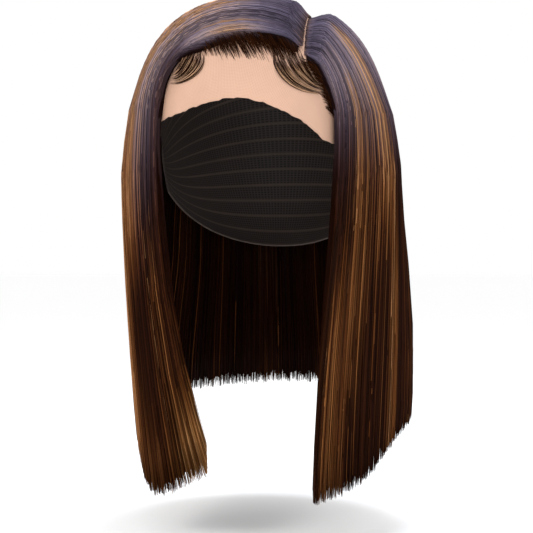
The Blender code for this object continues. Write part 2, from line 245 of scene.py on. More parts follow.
# Highlights: guide number at the middle, how far it drifts over the head, half width, strength,
# warmth, and where it starts and ends along the lock
STREAKS = Table(
    "middle drift half strength warmth start end",
    (
        (0.34, 0.00, 0.28, 0.85, 0.30, 1.30, 2.60),
        (0.72, 0.00, 0.28, 0.80, 0.30, 0.34, 2.00),
        (1.22, 0.06, 0.12, 0.66, 0.35, 0.30, 1.64),
        (1.72, 0.20, 0.24, 1.05, 0.35, 0.06, 1.56),
        (1.92, 0.00, 0.20, 0.80, 0.35, 1.20, 2.40),
        (2.75, 0.10, 0.10, 0.50, 0.35, 0.60, 2.60),
        (3.15, 0.00, 0.16, 0.75, 0.40, 0.35, 2.60),
        (3.90, 0.00, 0.13, 0.55, 0.35, 0.50, 2.60),
        (4.70, 0.00, 0.18, 0.80, 0.40, 0.30, 2.60),
        (5.55, 0.00, 0.14, 0.60, 0.40, 0.50, 2.60),
        (6.40, 0.00, 0.20, 0.85, 0.35, 0.40, 2.60),
        (7.30, 0.00, 0.14, 0.60, 0.40, 0.50, 2.60),
        (8.15, 0.00, 0.20, 0.80, 0.40, 0.35, 2.60),
        (9.10, 0.00, 0.16, 0.60, 0.45, 0.40, 2.60),
        (9.75, 0.00, 0.14, 0.55, 0.60, 0.25, 2.60),
        (10.42, 0.00, 0.40, 1.22, 0.40, 0.08, 2.60),
        (11.08, 0.00, 0.34, 1.15, 0.50, 0.10, 1.58),
        # Painted highlight: the next row is the band of shine along the middle of the swoop
        (11.45, 0.00, 0.16, 0.75, 0.10, 0.22, 0.90),
        (11.20, 0.00, 0.50, 0.66, 0.30, 1.62, 2.60),
        (11.80, 0.00, 0.22, 1.25, 0.10, 1.68, 2.60),
        (11.70, 0.00, 0.22, 0.62, 0.35, 1.15, 2.60),
        (11.98, 0.00, 0.10, 1.15, 0.20, 0.04, 0.60),
        (11.98, 0.00, 0.30, 1.50, 0.10, 1.66, 2.60),
    ),
)

# Where the points of a strand lie along it, close together where it curves
STRAND_KNOTS = np.array(
    [0, 0.03, 0.07, 0.12, 0.18, 0.25, 0.33, 0.41, 0.49, 0.58, 0.67, 0.76, 0.85, 0.94, 1.03, 1.14]
    + [1.30, 1.52, 1.75, 1.92, 2.0]
)


# Hair colours from the darkest strands to the lightest, at these shares of lightness
STOPS = (0.0, 0.20, 0.45, 0.72, 1.0)
CARAMEL = (
    (0.0085, 0.0022, 0.0010),
    (0.0200, 0.0056, 0.0016),
    (0.0700, 0.0240, 0.0055),
    (0.1750, 0.0760, 0.0215),
    (0.3600, 0.1900, 0.0750),
)
CHESTNUT = (
    (0.0090, 0.0020, 0.0010),
    (0.0230, 0.0056, 0.0018),
    (0.0850, 0.0230, 0.0070),
    (0.2150, 0.0760, 0.0280),
    (0.4000, 0.1700, 0.0850),
)
# Painted sheen: the purple-grey of lamp light on the crown, mixed over the hair colours by the
# fourth strand value
CROWN_SHEEN = (
    (0.074, 0.062, 0.098),
    (0.130, 0.109, 0.157),
    (0.262, 0.196, 0.208),
    (0.375, 0.225, 0.135),
    (0.560, 0.345, 0.205),
)


@dataclass(frozen=True)
class Taper:
    """How the width of a strand runs along it."""

    width: float  # Its full width
    root: float  # Share of that at the root
    growth: float  # How fast it grows from there
    loss: float  # Share that is lost at the tip
    start: float  # Where that loss starts

    def at(self, along: Array) -> Array:
        """Give the widths along a strand.

        Args:
            along: Shares of the way along it.

        Returns:
            The widths there.
        """
        grown = self.root + (1 - self.root) * smooth(along * self.growth)
        left = 1 - self.loss * smooth((along - self.start) / (1 - self.start))
        return self.width * grown * left


@dataclass(frozen=True)
class Head:
    """The head that the cap fits."""

    breadth: float = 0.156  # From side to side, in metres
    depth: float = 0.198  # From front to back
    crown: float = 0.090  # Height of the crown above the widest level
    nape: float = 0.105  # Depth of the form below that level
    squareness: float = 2.65  # 2 for an ellipsoid and more for a squarer one

    def middle(self) -> Array:
        """Give the point that the dome is measured from."""
        return np.array([0, 0, -self.crown])

    def dome(self, direction: Array, lift: Array | float) -> Array:
        """Find where directions from the middle pass a lift off the scalp.

        Args:
            direction: The directions.
            lift: The distance off the scalp.

        Returns:
            The points.
        """
        direction = unit(direction)
        x, y, z = np.moveaxis(direction, -1, 0)
        height = np.where(z < 0, self.nape, self.crown) + lift
        plan = (x / (self.breadth / 2 + lift)) ** 2 + (y / (self.depth / 2 + lift)) ** 2
        size = plan ** (self.squareness / 2) + np.abs(z / height) ** self.squareness
        return direction * (size ** (-1 / self.squareness))[..., None] + self.middle()

    def level_point(self, around: Array, lift: Array | float, height: Array | float) -> Array:
        """Find a point at a height, off the head's widest outline.

        Args:
            around: Degrees from the front towards the wearer's left.
            lift: Distance off the outline.
            height: Height of the point.

        Returns:
            The points.
        """
        turn = np.radians(around)
        x, y = np.sin(turn), -np.cos(turn)
        reach = ((x * 2 / self.breadth) ** 2 + (y * 2 / self.depth) ** 2) ** -0.5 + lift
        return stacked(x * reach, y * reach, height)

    def brow_point(self, around: Array, drop: Array, lift: Array | float) -> Array:
        """Find a point of the scalp at an angle round the head and a drop from the crown.

        Args:
            around: Degrees from the front towards the wearer's left.
            drop: Distance below the crown.
            lift: Distance off the scalp.

        Returns:
            The points.
        """
        above = np.abs(self.crown - drop)
        height = np.where(drop > self.crown, self.nape, self.crown)
        shrink = (1 - (above / height) ** self.squareness) ** (1 / self.squareness)
        ring = self.level_point(around, 0, -self.crown)
        point = stacked(ring[..., 0] * shrink, ring[..., 1] * shrink, -drop)
        return self.dome(point - self.middle(), lift)

    def crown_point(self, x: Array, y: Array, lift: float) -> Array:
        """Find the point of the crown above a plan position.

        Args:
            x: Position across.
            y: Position from front to back.
            lift: Distance off the scalp.

        Returns:
            The points.
        """
        plan = (x / (self.breadth / 2 + lift)) ** 2 + (y / (self.depth / 2 + lift)) ** 2
        rise = (1 - plan ** (self.squareness / 2)) ** (1 / self.squareness)
        return stacked(x, y, (self.crown + lift) * rise - self.crown)


@dataclass(frozen=True)
class HairFlow:
    """How the hair leaves the parting, lies over the head and hangs.

    Along a lock, t is 0 at the root, 1 at the head's widest level and 2 at the tip. A place is a
    guide number, from 0 at the left front edge round the back to 12 at the right front edge.
    """

    head: Head = Head()  # The head beneath
    length: float = 0.347  # From the crown seat to the lowest tips
    part_offset: float = 0.046  # Where the parting is, towards the wearer's left
    part_slant: float = 0.009  # How far it moves inwards on its way back
    part_front: float = 0.073  # Its front end
    part_back: float = 0.022  # Its back end
    part_width: float = 0.0040  # Bare width of the parting
    top_lift: float = 0.0090  # Height of the hair over the crown
    root_lift: float = 0.0036  # Height of the hair at its roots
    bank: float = 0.012  # How far from its root a lock is fully raised
    bulge: float = 0.024  # The unit of the guides' lifts
    seat: float = 0.0026  # Height of the hair's underside over the scalp
    thickness: float = 0.015  # Depth of the hanging hair
    tip_depth: float = 0.0030  # Depth at the tips
    edge_round: float = 0.007  # Depth at the front edges
    hairline_drop: float = 0.043  # The unit of the drops in the hairline and swirl tables
    round_reach: float = 0.16  # How far the bend at the widest level is rounded
    round_span: float = 0.36  # How far from that level the rounding ends
    crown_hug: float = 2.6  # How closely the hair keeps its lift over the crown
    plumb: float = 0.3  # Share of the fall over which a lock keeps plumb
    lean_height: float = 0.4  # Share of the fall above the tip where its lean is set
    settling: float = 2.5  # How fast the depth settles below the widest level
    thinning: float = 0.45  # Where on the fall the depth starts to thin towards the tip
    tip_fold: float = 0.7  # Share of the edge's depth that its tip loses

    def root(self, place: Array) -> Array:
        """Find where a lock leaves the scalp.

        Args:
            place: Guide numbers.

        Returns:
            The points.
        """
        share, side = GUIDES.read("root", place), GUIDES.read("side", place)
        x = self.part_offset - self.part_slant * share + side * self.part_width / 2
        end = np.sqrt(np.clip(1 - side * side, 0, 1)) * self.part_width / 2
        y = -self.part_front + (self.part_front + self.part_back) * share + end
        return self.head.crown_point(x, y, self.root_lift)

    def hang(self, place: Array) -> Array:
        """Give the point where a lock passes the head's widest level."""
        lift = GUIDES.read("hang_out", place) * self.bulge
        return self.head.level_point(GUIDES.read("hang_at", place), lift, -self.head.crown)

    def crown_path(self, place: Array, t: Array) -> Array:
        """Follow the outer face of the hair on the head.

        Args:
            place: Guide numbers.
            t: 0 at the root to 1 at the widest level.

        Returns:
            The points.
        """
        root, hang = self.root(place), self.hang(place)
        side = GUIDES.read("side", place)
        sideways = np.sign(side) * np.abs(side) ** 0.5
        backward = np.sqrt(np.clip(1 - sideways * sideways, 0, 1))
        sweep = GUIDES.read("sweep", place)
        first = root + stacked(sideways * sweep, backward * sweep, GUIDES.read("rise", place))
        last = hang + stacked(0, 0, GUIDES.read("arch", place))
        along = bezier(root, first, last, hang, t)
        direction = along - self.head.middle()
        low = 1 - np.clip(unit(direction)[..., 2], 0, 1)
        side_lift = GUIDES.read("hang_out", place) * self.bulge
        full = self.top_lift + (side_lift - self.top_lift) * low**self.crown_hug
        bank = smooth(np.linalg.norm(along - root, axis=-1) / self.bank)
        return self.head.dome(direction, self.root_lift + (full - self.root_lift) * bank)

    def fall_path(self, place: Array, t: Array, drop: Array) -> Array:
        """Follow the outer face of the hair below the widest level.

        Args:
            place: Guide numbers.
            t: 0 at the widest level to 1 at the tip.
            drop: How far the tip lies below the crown seat.

        Returns:
            The points.
        """
        hang = self.hang(place)
        fall = drop - self.head.crown
        tip_lift = GUIDES.read("tip_out", place) * self.bulge
        tip = self.head.level_point(GUIDES.read("tip_at", place), tip_lift, -drop)
        lean_lift = GUIDES.read("lean_out", place) * self.bulge
        lean_at = GUIDES.read("lean_at", place)
        lean = self.head.level_point(lean_at, lean_lift, fall * self.lean_height - drop)
        return bezier(hang, hang - stacked(0, 0, fall * self.plumb), lean, tip, t)

    def drop(self, place: Array) -> Array:
        """Give the drop of the tip at a place."""
        return GUIDES.read("drop", place) * self.length

    def outer(self, place: Array, t: Array, drop: Array) -> Array:
        """Follow the outer face from root to tip, rounded where it leaves the head.

        Args:
            place: Guide numbers.
            t: 0 at the root, 1 at the widest level, 2 at the tip.
            drop: How far each tip lies below the crown seat.

        Returns:
            The points.
        """
        reach = self.round_reach * smooth(1 - np.abs(t - 1) / self.round_span)
        total = 0
        for at in (t - reach, t + reach, t):
            over = self.crown_path(place, np.clip(at, 0, 1))
            under = self.fall_path(place, np.clip(at - 1, 0, 1), drop)
            total = total + np.where((at <= 1)[..., None], over, under)
        return total / 3

    def outward(self, points: Array, t: Array) -> Array:
        """Give the direction away from the head at points of the hair.

        Args:
            points: The points.
            t: Their shares along the lock.

        Returns:
            The directions.
        """
        on_dome = unit(points - self.head.middle())
        return np.where((t <= 1)[..., None], on_dome, -inward(points))

    def fullness(self, place: Array) -> Array:
        """Give the depth of the hanging hair, which thins towards the front edges."""
        from_edge = np.minimum(place, 12 - place) / 4
        return self.edge_round + (self.thickness - self.edge_round) * smooth(from_edge * 3)

    def depth(self, place: Array, t: Array) -> Array:
        """Give the depth of the hair under its outer face.

        Args:
            place: Guide numbers.
            t: 0 at the root, 1 at the widest level, 2 at the tip.

        Returns:
            The depths.
        """
        place, t = np.broadcast_arrays(place, t)
        over = self.crown_path(place, np.clip(t, 0, 1))
        seat = self.head.dome(over - self.head.middle(), self.seat)
        on_head = np.linalg.norm(over - seat, axis=-1)
        fall = np.clip(t - 1, 0, 1)
        change = smooth(fall * self.settling)
        full = self.fullness(place)
        depth = on_head * (1 - change) + full * change
        tip = np.minimum(full, self.tip_depth)
        return depth + (tip - depth) * smooth((fall - self.thinning) / (1 - self.thinning))

    def hairline(self, side: Side, along: Array) -> tuple[Array, Array]:
        """Find where the front of the hair meets the lace.

        Args:
            side: Which side of the parting.
            along: 0 at the parting to 1 at the widest level.

        Returns:
            The angles round the head and the drops from the crown.
        """
        drop = HAIRLINE.look_up("along", side.value + "_drop", along) * self.hairline_drop
        return HAIRLINE.look_up("along", side.value + "_at", along), drop

    def foot(self, side: Side, t: Array, drop: Array) -> Array:
        """Follow the inner rim of a front edge from the parting to the tip.

        Args:
            side: Which front edge.
            t: 0 at the root, 1 at the widest level, 2 at the tip.
            drop: How far the tip lies below the crown seat.

        Returns:
            The points.
        """
        place = np.zeros_like(t) if side is Side.LEFT else np.full_like(t, 12.0)
        edge = self.outer(place, t, drop)
        ring = self.outer(place, np.ones_like(t), drop)
        seat, end = (
            self.head.brow_point(*self.hairline(side, along), self.root_lift)
            for along in (np.clip(t, 0, 1), np.ones_like(t))
        )
        fall = np.clip(t - 1, 0, 1)
        change = smooth(fall * self.settling)[..., None]
        fold = inward(edge) * self.edge_round * (1 - self.tip_fold * fall[..., None])
        low = edge + (end - ring) * (1 - change) + fold * change
        return np.where((t <= 1)[..., None], seat, low)


class Tone:
    """The colour chart of the hair: dark roots and base, with caramel and chestnut streaks, a
    painted sheen over the crown and painted shade behind the right front edge.
    """

    FADE_START, FADE_SPAN = 0.43, 0.80  # Where the painted crown sheen starts to fade, and for how long
    FADE_DELAY = 0.17  # How much later that is at the right front
    SHADE_SHEEN_LOSS = 0.70  # How much of the painted crown sheen hair tucked behind the front edge loses, as painted shade
    SHEEN, SIDE_SHEEN = 0.26, 0.08  # Painted sheen over the crown, and how much more is painted on the right
    BASE, COARSE, FINE = 0.11, 0.13, 0.07  # Lightness of dark hair, and its two variations
    GROWN_SPAN, GROWN_LIGHT = 0.06, 0.42  # How long the light roots are, and how light

    @staticmethod
    def noise(place: Array, scale: float, phase: float) -> Array:
        """Give an even-running random value from -1 to 1 round the head.

        Args:
            place: Guide numbers.
            scale: How many waves there are to a guide.
            phase: Where the waves start.

        Returns:
            The values.
        """
        a = np.sin(place * scale * 6.283 + phase)
        b = np.sin(place * scale * 9.71 + phase * 2.3 + 1.1)
        c = np.sin(place * scale * 15.37 + phase * 0.7 + 4.2)
        return (a + 0.8 * b + 0.6 * c) / 2.4

    @classmethod
    def chart(cls, place: Array, t: Array) -> Array:
        """Work out the colour values of the hair.

        Args:
            place: Guide numbers.
            t: Shares along the lock.

        Returns:
            Lightness with painted sheen added, warmth, an even shade of 0.5 and the share of
            painted crown sheen, from 0 to 1.
        """
        place, t = np.broadcast_arrays(place, t)
        # Painted sheen of the lamps over the crown, held in crown and sheen, fading down the lock;
        # painted shade takes it away behind the right front edge
        delay = cls.FADE_DELAY * smooth((place - 10.8) * 2)
        crown = 1 - smooth((t - cls.FADE_START - delay) / cls.FADE_SPAN)
        shaded = smooth((place - 11.72) / 0.22) * smooth((t - 0.40) / 0.20)
        crown = crown * (1 - cls.SHADE_SHEEN_LOSS * shaded)
        sheen = cls.SHEEN + cls.SIDE_SHEEN * smooth((place - 9) / 2)
        sheen = sheen * smooth(t / 0.34) * crown
        light = cls.BASE + cls.COARSE * cls.noise(place, 2.1, 0.4)
        light = light + cls.FINE * cls.noise(place, 7.3, 1.9)
        light = light * smooth(t * 1.2) + sheen
        warm = np.full_like(light, 0.35)
        for middle, drift, half, strength, warmth, start, end in STREAKS.rows:
            moved = middle - drift * (1 - smooth((t - 0.90) / 0.50))
            across = np.abs(place - moved) / half
            fine = 0.72 + 0.52 * cls.noise(place, 5.5, middle)
            amount = strength * smooth(1.5 - across) * fine * smooth((t - start) / 0.30)
            amount = amount * smooth((end - t) / 0.35) * (1.06 - 0.14 * t)
            warm = np.where(amount > light, warmth, warm)
            light = np.maximum(light, amount)
        grown = 1 - smooth(t / cls.GROWN_SPAN)
        warm = np.maximum(warm, 0.8 * grown)
        crown = crown * (1 - 0.45 * grown) * (1 - 0.55 * smooth((light - 0.45) * 2))
        light = light + cls.GROWN_LIGHT * grown
        return np.stack([np.clip(light, 0, 1), warm, np.full_like(light, 0.5), crown], axis=-1)


class Graph:
    """A tree of shader nodes that is built node by node."""

    def __init__(self, tree: bpy.types.NodeTree) -> None:
        """Take the tree to build in."""
        self.tree = tree

    def fill(self, node: bpy.types.Node, inputs: Inputs) -> None:
        """Set a node's inputs, or join them where a socket is given.

        Args:
            node: The node.
            inputs: What goes into each input, by its name or number.
        """
        for key, given in inputs.items():
            if isinstance(given, Socket):
                self.tree.links.new(given, node.inputs[key])
            else:
                node.inputs[key].default_value = given

    def node(self, kind: str, inputs: Inputs, **settings: object) -> bpy.types.Node:
        """Add a node.

        Args:
            kind: Its type, without ShaderNode in front.
            inputs: What goes into it.
            settings: Its properties.

        Returns:
            The node.
        """
        made = self.tree.nodes.new("ShaderNode" + kind)
        for key, value in settings.items():
            setattr(made, key, value)
        self.fill(made, inputs)
        return made

    def math(self, operation: str, first: Given, second: Given) -> Socket:
        """Combine two numbers."""
        return self.node("Math", {0: first, 1: second}, operation=operation).outputs[0]

    def remap(self, value: Given, start: Span, end: Span) -> Socket:
        """Map a number from one span onto another."""
        spans = {"From Min": start[0], "From Max": start[1], "To Min": end[0], "To Max": end[1]}
        return self.node("MapRange", {0: value, **spans}).outputs[0]

    def mix(self, share: Given, first: Given, second: Given) -> Socket:
        """Mix two colours."""
        inputs = {"Factor": share, "A": first, "B": second}
        return self.node("Mix", inputs, data_type="RGBA").outputs["Result"]

    def scaled(self, colour: Given, scale: Given) -> Socket:
        """Make a colour darker or lighter."""
        inputs = {0: colour, "Scale": scale}
        return self.node("VectorMath", inputs, operation="SCALE").outputs[0]

    def noise(self, where: Given, scale: float, detail: float) -> Socket:
        """Draw even noise."""
        inputs = {"Vector": where, "Scale": scale, "Detail": detail}
        return self.node("TexNoise", inputs).outputs[0]

    def ramp(self, value: Given, colours: tuple[Colour, ...]) -> Socket:
        """Run a number through a ramp of colours.

        Args:
            value: The number.
            colours: One colour for each of STOPS.

        Returns:
            The colour.
        """
        made = self.node("ValToRGB", {0: value})
        elements = made.color_ramp.elements
        while len(elements) < len(STOPS):
            elements.new(0.5)
        for element, at, colour in zip(elements, STOPS, colours):
            element.position = at
            element.color = (*colour, 1)
        return made.outputs[0]

    def lines(self, axis: int, count: Given) -> Socket:
        """Give how far the nearest of many even lines is, in spaces between them.

        Args:
            axis: 0 for lines along the fibre map and 1 for lines across it.
            count: How many lines there are.

        Returns:
            The distance.
        """
        place = self.node("UVMap", {}, uv_map="fibre").outputs[0]
        along = self.node("SeparateXYZ", {0: place}).outputs[axis]
        return self.math("PINGPONG", self.math("MULTIPLY", along, count), 0.5)


class Group(Graph):
    """A node group with named inputs and outputs."""

    GRAIN_ALONG, GRAIN_DETAIL = 9.0, 3.0  # How fine the colour grain runs along, and its detail
    GRAIN_SPAN, GRAIN_LIGHT = (0.3, 0.7), (0.72, 1.25)  # Its middle span, and the light it gives
    SHADE_LIGHT = (0.40, 1.60)  # Light of the darkest and the palest strand
    THREAD_EDGE = (0.10, 0.24)  # Where the edge of a thread fades, in spaces between threads

    def __init__(self, name: str, inputs: dict[str, str], outputs: dict[str, str]) -> None:
        """Start the group.

        Args:
            name: Its name.
            inputs: The kind of each input.
            outputs: The kind of each output.
        """
        super().__init__(bpy.data.node_groups.new(name, "ShaderNodeTree"))
        for way, sockets in (("INPUT", inputs), ("OUTPUT", outputs)):
            for socket, kind in sockets.items():
                kind = "NodeSocket" + kind
                self.tree.interface.new_socket(socket, in_out=way, socket_type=kind)
        self.start = self.tree.nodes.new("NodeGroupInput").outputs
        self.end = self.tree.nodes.new("NodeGroupOutput")

    @classmethod
    def fibre(cls) -> bpy.types.NodeTree:
        """Build the group that turns the strand values into hair colour, with the painted crown
        sheen mixed over it.

        Returns:
            The group's tree.
        """
        group = cls(
            "fibre_colour",
            {"Strand": "Color", "Crown": "Float", "Gloom": "Float", "Grain": "Float"},
            {"Colour": "Color", "Height": "Float"},
        )
        parts = group.node("SeparateColor", {0: group.start["Strand"]}).outputs
        light, warm, shade = parts[0], parts[1], parts[2]
        colour = group.mix(warm, group.ramp(light, CARAMEL), group.ramp(light, CHESTNUT))
        # Painted sheen over the crown, by its share in the strand values
        colour = group.mix(group.start["Crown"], colour, group.ramp(light, CROWN_SHEEN))
        place = group.node("UVMap", {}, uv_map="fibre").outputs[0]
        grain = {0: group.start["Grain"], 1: cls.GRAIN_ALONG, 2: 1.0}
        grain = group.node("CombineXYZ", grain).outputs[0]
        stretched = group.node("VectorMath", {0: place, 1: grain}, operation="MULTIPLY")
        noise = group.noise(stretched.outputs[0], 1.0, cls.GRAIN_DETAIL)
        vary = group.remap(noise, cls.GRAIN_SPAN, cls.GRAIN_LIGHT)
        each = group.remap(shade, (0, 1), cls.SHADE_LIGHT)
        dim = group.math("MULTIPLY", vary, each)
        dim = group.math("MULTIPLY", dim, group.start["Gloom"])
        group.fill(group.end, {"Colour": group.scaled(colour, dim), "Height": noise})
        return group.tree

    @classmethod
    def net(cls) -> bpy.types.NodeTree:
        """Build the group that draws a fine woven net on the fibre map.

        Returns:
            The group's tree.
        """
        counts = {"Across": "Float", "Along": "Float"}
        group = cls("fine_net", counts, {"Thread": "Float", "Height": "Float"})
        lines = [group.lines(axis, group.start[count]) for axis, count in enumerate(counts)]
        thread = group.remap(group.math("MINIMUM", *lines), cls.THREAD_EDGE, (1.0, 0.0))
        group.fill(group.end, {"Thread": thread, "Height": thread})
        return group.tree


class Material(Graph):
    """A node material with one Principled shader."""

    def __init__(self, name: str) -> None:
        """Start the material.

        Args:
            name: Its name.
        """
        self.material = bpy.data.materials.new(name)
        self.material.use_nodes = True
        super().__init__(self.material.node_tree)
        self.shader = self.tree.nodes["Principled BSDF"]

    def emboss(self, height: Given, strength: float, distance: float) -> None:
        """Give the surface a fine relief."""
        inputs = {"Height": height, "Strength": strength, "Distance": distance}
        self.fill(self.shader, {"Normal": self.node("Bump", inputs).outputs[0]})


@dataclass(frozen=True)
class HairFinish:
    """Sleek glossy fibre."""

    name: str  # Name of the material
    fibre: bpy.types.NodeTree  # The shared colour group
    gloom: float = 1.0  # How much of its colour the fibre keeps
    roughness: float = 0.34  # Roughness of the shine
    grain: float = 40.0  # How fine the colour grain runs across
    bump: float = 0.0  # Strength of the grain's relief
    relief: float = 0.0006  # Height of that relief
    shine: float = 0.025  # Strength of the mirror-like shine
    rough_span: Span = (-0.06, 0.10)  # How much smoother and rougher the grain makes it

    def make(self) -> Finish:
        """Build the material.

        Returns:
            The material.
        """
        made = Material(self.name)
        strand = made.node("Attribute", {}, attribute_name="strand").outputs
        inputs = {"Strand": strand["Color"], "Crown": strand["Alpha"]}
        inputs |= {"Gloom": self.gloom, "Grain": self.grain}
        fibre = made.node("Group", inputs, node_tree=self.fibre).outputs
        span = tuple(self.roughness + change for change in self.rough_span)
        rough = made.remap(fibre["Height"], (0, 1), span)
        made.fill(made.shader, {"Base Color": fibre["Colour"], "Roughness": rough})
        made.fill(made.shader, {"Specular IOR Level": self.shine})
        if self.bump:
            made.emboss(fibre["Height"], self.bump, self.relief)
        return made.material


@dataclass(frozen=True)
class NetFinish:
    """Fine net cloth."""

    name: str  # Name of the material
    net: bpy.types.NodeTree  # The shared net group
    thread: Colour  # Colour of the threads
    gap: Colour  # Colour between them
    across: float  # Threads across the panel
    along: float  # Threads along it
    open_share: float  # Alpha between the threads
    roughness: float = 0.7  # Roughness of the threads
    bump: float = 0.35  # Strength of their relief
    relief: float = 0.0003  # Height of that relief
    wefts: int = 0  # Sewn rows of hair from the seam to the nape
    weft: Colour = (0.085, 0.061, 0.049)  # Colour of those rows
    weft_edge: Span = (0.05, 0.11)  # Where the edge of a row fades, in spaces between rows
    blotch: Span = (45.0, 4.0)  # Scale and detail of the uneven tint
    tint: Span = (0.88, 1.10)  # Darkest and lightest tint

    def make(self) -> Finish:
        """Build the material.

        Returns:
            The material.
        """
        made = Material(self.name)
        counts = {"Across": self.across, "Along": self.along}
        net = made.node("Group", counts, node_tree=self.net).outputs
        colour = made.mix(net["Thread"], (*self.gap, 1), (*self.thread, 1))
        if self.wefts:
            row = made.remap(made.lines(1, self.wefts), self.weft_edge, (1.0, 0.0))
            colour = made.mix(row, colour, (*self.weft, 1))
        where = made.node("TexCoord", {}).outputs["Object"]
        tint = made.remap(made.noise(where, *self.blotch), (0, 1), self.tint)
        alpha = made.remap(net["Thread"], (0, 1), (self.open_share, 1.0))
        made.fill(made.shader, {"Base Color": made.scaled(colour, tint), "Alpha": alpha})
        made.fill(made.shader, {"Roughness": self.roughness})
        made.emboss(net["Height"], self.bump, self.relief)
        return made.material


# Name, place, size, power and colour of each lamp
LAMPS = (
    ("key", (-0.7, -1.3, 0.75), 0.6, 9, (1.0, 0.97, 0.94)),
    ("fill", (1.2, -0.9, 0.35), 0.7, 5, (0.92, 0.95, 1.0)),
    ("top", (0.1, 0.25, 1.1), 0.5, 9, (0.86, 0.90, 1.0)),
)


@dataclass
class Studio:
    """The pale floor, the soft lamps and the camera where the photograph was taken from."""

    floor_size: float = 60.0  # Size of the floor
    floor_height: float = -0.372  # Its height
    paper: float = 0.985  # How bright it is
    aim: tuple[float, float, float] = (0, 0, -0.14)  # The point that the lamps shine at
    turn: float = 12.0  # Degrees from the front to the camera
    distance: float = 1.0  # How far away the camera stands
    aside: float = 0.0041  # How far it stands to the right of its line
    height: float = -0.185  # Its height
    sensor: float = 36.0  # Its sensor's width, in millimetres
    focus: float = 1350 / 533  # Its focal length, in widths of the sensor

    def build(self) -> None:
        """Set up everything that isn't part of the wig."""
        self.floor()
        self.lights()
        self.camera()

    def floor(self) -> None:
        """Lay the floor."""
        bpy.ops.object.select_all(action="DESELECT")
        place = (0, 0, self.floor_height)
        bpy.ops.mesh.primitive_plane_add(size=self.floor_size, location=place)
        floor = bpy.context.object
        floor.name = "studio_floor"
        made = Material("studio_paper")
        colour = (self.paper, self.paper, self.paper, 1)
        made.fill(made.shader, {"Base Color": colour, "Roughness": 0.9})
        floor.data.materials.append(made.material)

    def lights(self) -> None:
        """Hang the lamps and light the room evenly."""
        world = bpy.data.worlds.new("room")
        world.use_nodes = True
        background = world.node_tree.nodes["Background"]
        Graph(world.node_tree).fill(background, {"Color": (1, 1, 1, 1), "Strength": 1.0})
        bpy.context.scene.world = world
        for name, place, size, power, colour in LAMPS:
            data = bpy.data.lights.new(name, "AREA")
            data.size, data.energy, data.color = size, power, colour
            lamp = placed(name, data)
            lamp.location = place
            aim = Vector(self.aim) - Vector(place)
            lamp.rotation_euler = aim.to_track_quat("-Z", "Y").to_euler()

    def camera(self) -> None:
        """Stand the camera."""
        turn = np.radians(self.turn)
        data = bpy.data.cameras.new("view")
        data.sensor_width, data.lens = self.sensor, self.sensor * self.focus
        camera = placed("view", data)
        right = np.array([np.cos(turn), np.sin(turn), 0])
        back = np.array([np.sin(turn), -np.cos(turn), 0])
        up = np.array([0, 0, self.height])
        camera.location = Vector(back * self.distance + right * self.aside + up)
        camera.rotation_euler = (np.radians(90), 0, turn)
        bpy.context.scene.camera = camera
        bpy.context.scene.view_settings.view_transform = "Standard"


@dataclass
class StrandField:
    """A joined mesh of many tapered strands, each a closed three-sided tube."""

    name: str  # Name of the piece
    paths: Array  # Points of each strand, as strands by points by 3
    out: Array  # Directions away from the head at those points
    widths: Array  # Width of each strand at those points
    values: Array  # Lightness, warmth, shade and share of painted crown sheen at those points
    material: Finish  # Its finish

    def build(self) -> Object:
        """Make the joined mesh.

        Returns:
            The piece, riding on the wig.
        """
        count, length = self.paths.shape[:2]
        tangent = unit(np.gradient(self.paths, axis=1))
        side = unit(np.cross(tangent, self.out))
        up = np.cross(side, tangent)
        ring = [
            self.paths + (side * np.cos(a) + up * np.sin(a)) * self.widths[..., None] / 2
            for a in np.radians([90, 210, 330])
        ]
        points = np.stack(ring, axis=2).reshape(-1, 3)
        base = (np.arange(count) * length * 3)[:, None]
        row = base[..., None] + (np.arange(length - 1) * 3)[None, :, None]
        corner = np.arange(3)[None, None, :]
        after = (corner + 1) % 3
        quads = [row + corner, row + after, row + 3 + after, row + 3 + corner]
        quads = np.stack(quads, axis=-1).reshape(-1, 4)
        first = base + np.array([2, 1, 0])
        last = base + (length - 1) * 3 + np.array([0, 1, 2])
        caps = np.concatenate([first, last])
        loops = np.concatenate([quads.ravel(), caps.ravel()])
        sizes = np.concatenate([np.full(len(quads), 4), np.full(len(caps), 3)])
        mesh = bpy.data.meshes.new(self.name)
        mesh.vertices.add(len(points))
        mesh.vertices.foreach_set("co", points.ravel())
        mesh.loops.add(len(loops))
        mesh.loops.foreach_set("vertex_index", loops.astype(np.int32))
        mesh.polygons.add(len(sizes))
        starts = np.concatenate([[0], np.cumsum(sizes)[:-1]])
        mesh.polygons.foreach_set("loop_start", starts.astype(np.int32))
        mesh.polygons.foreach_set("use_smooth", np.ones(len(sizes), dtype=bool))
        mesh.update()
        coloured(mesh, np.repeat(self.values.reshape(-1, 1, 4), 3, axis=1))
        along = np.tile(np.repeat(np.linspace(0, 1, length), 3), count)
        which = np.repeat(np.arange(count) * FIBRE_STEP % 1.0, length * 3)
        fibre = np.stack([which, along + which * FIBRE_SHIFT], axis=-1)
        mesh.uv_layers.new(name="fibre").data.foreach_set("uv", fibre[loops].ravel())
        mesh.materials.append(self.material)
        piece = placed(self.name, mesh)
        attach(piece, "root")
        triangles = len(quads) * 2 + len(caps)
        LOG.info("%s: %d strands, %d triangles", self.name, count, triangles)
        return piece


